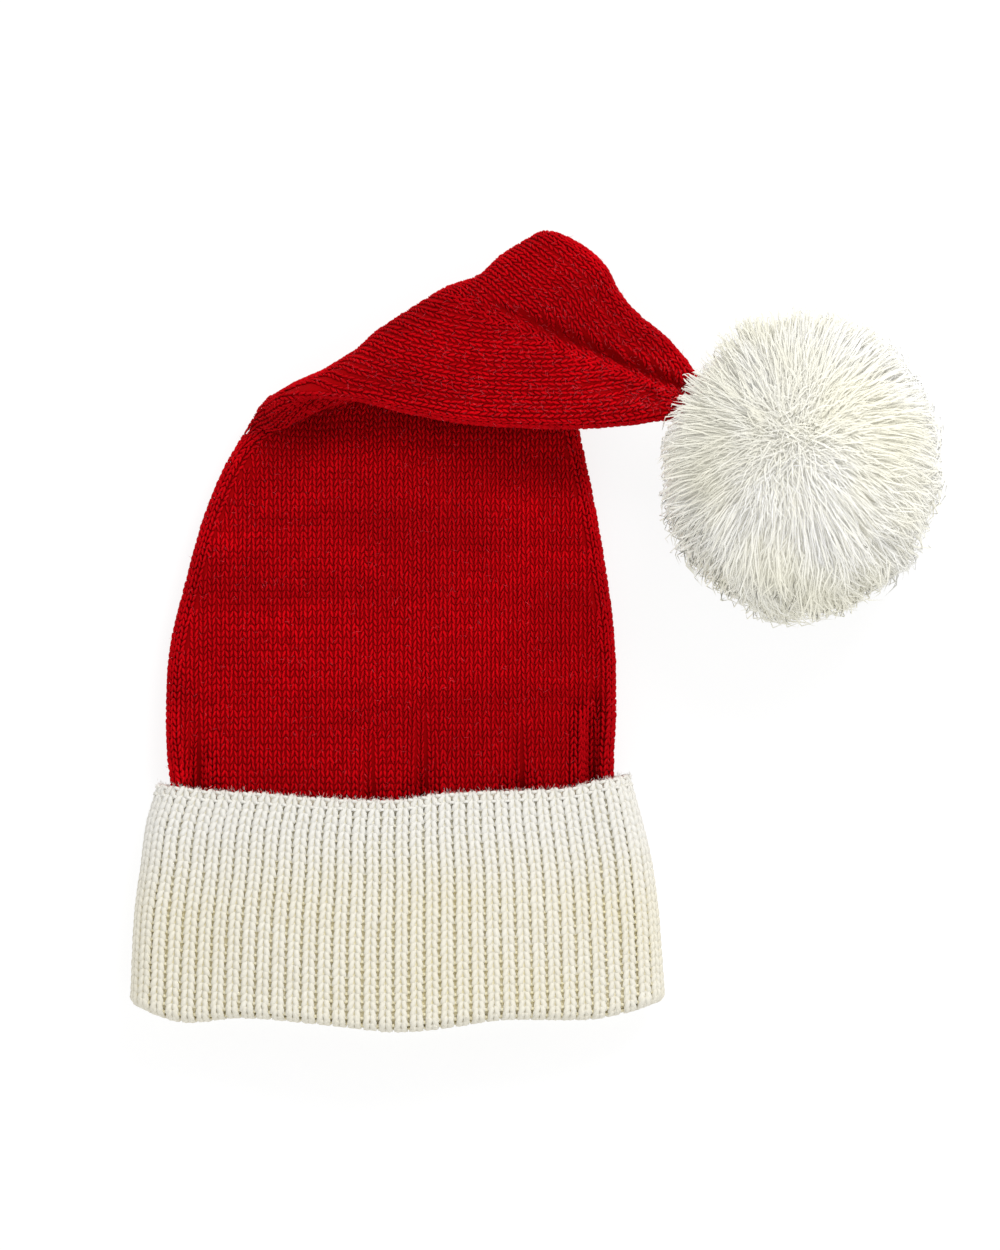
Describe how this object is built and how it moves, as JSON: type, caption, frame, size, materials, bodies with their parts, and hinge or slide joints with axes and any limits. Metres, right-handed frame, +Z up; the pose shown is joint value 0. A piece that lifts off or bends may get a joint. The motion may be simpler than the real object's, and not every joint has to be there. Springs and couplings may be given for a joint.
{
  "type": "knitted santa hat",
  "caption": "Red knitted stocking hat lying flat, its tapering tail folded over to one side, with a turned-up white rib cuff and a large white yarn pompom.",
  "frame": {"origin": "on the flat underside of the crown, under the middle of the body, on the surface that the hat lies on", "axes": "+X to the wearer's-side edge that the tail and pompom lie towards, +Y from the mouth towards the fold at the top, +Z up from the surface"},
  "size_m": [0.3268, 0.319, 0.1022],
  "materials": {
    "red_knit": "matte red stockinette knit",
    "white_rib": "matte off-white 1x1 rib knit",
    "pompom_yarn": "soft white cut yarn"
  },
  "bodies": {
    "root": {"crown": "red_knit", "cuff": "white_rib", "pompom": "pompom_yarn"}
  },
  "joints": []
}
